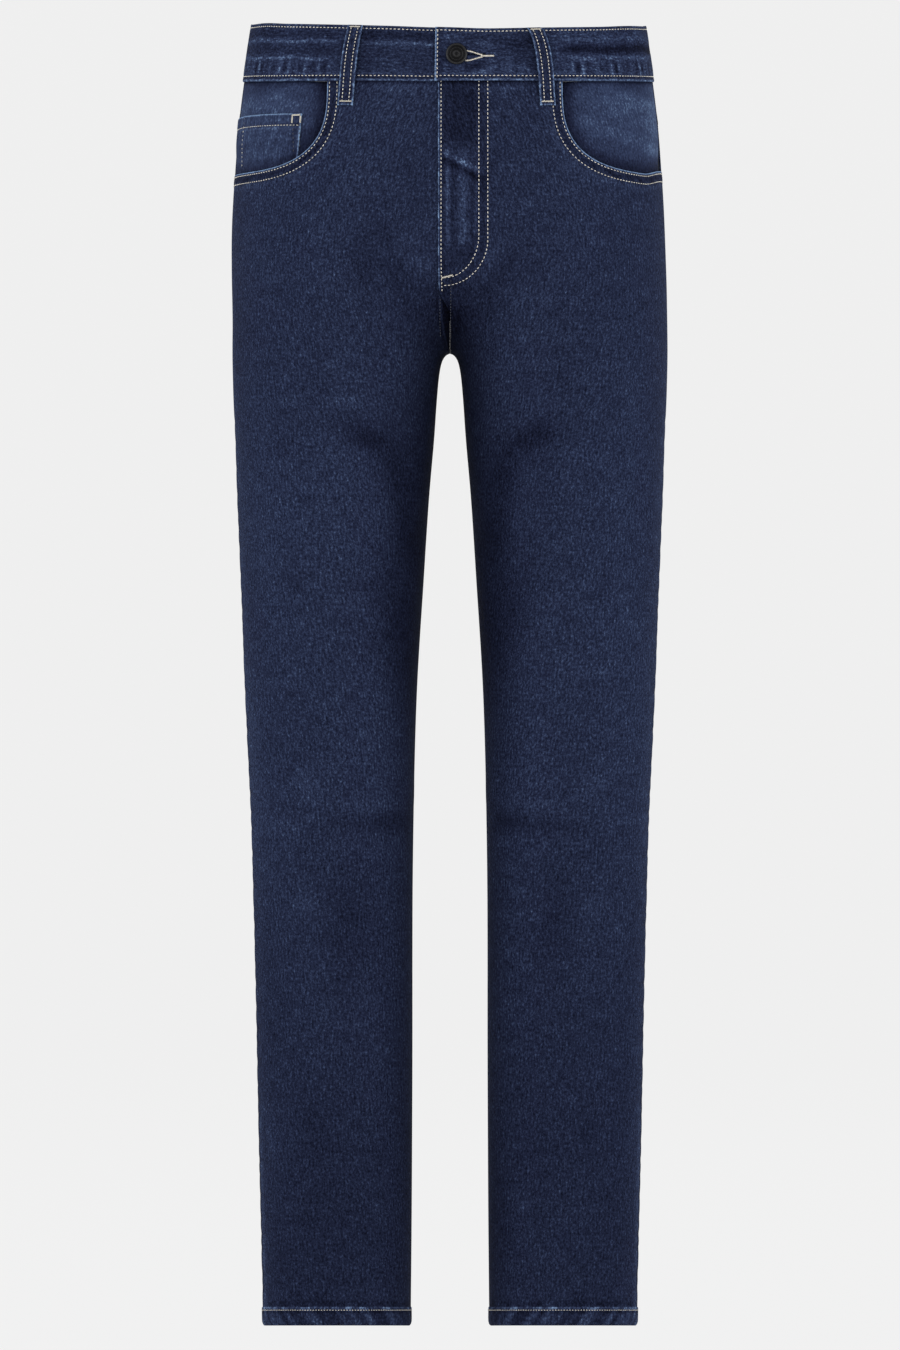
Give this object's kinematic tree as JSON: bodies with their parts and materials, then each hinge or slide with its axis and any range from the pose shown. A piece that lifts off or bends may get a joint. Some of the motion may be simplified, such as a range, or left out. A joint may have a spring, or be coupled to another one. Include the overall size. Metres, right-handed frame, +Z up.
{
  "type": "slim five-pocket jeans",
  "caption": "Slim tapered denim trousers with five pockets and a buttoned waistband, in the hollow form they have when worn",
  "frame": {"origin": "the middle of the waist opening, level with the waistband's top edge at the side seams", "axes": "+Z up along the legs, -Y to the front of the garment, +X to the wearer's left"},
  "size_m": [0.3578, 0.2649, 1.072],
  "materials": {
    "denim": "dark indigo stretch denim, matt",
    "denim_worn": "the same denim, rubbed lighter",
    "thread": "ecru sewing thread",
    "button_metal": "dark gunmetal, satin"
  },
  "bodies": {
    "root": {"front_left": "denim", "back_left": "denim", "yoke_left": "denim", "pocket_facing_left": "denim_worn", "back_pocket_left": "denim", "front_right": "denim", "back_right": "denim", "yoke_right": "denim", "pocket_facing_right": "denim_worn", "back_pocket_right": "denim", "coin_pocket": "denim_worn", "waistband": "denim", "belt_loop_front_right": "denim", "belt_loop_front_left": "denim", "belt_loop_side_right": "denim", "belt_loop_side_left": "denim", "belt_loop_back": "denim", "button": "button_metal"}
  },
  "joints": []
}
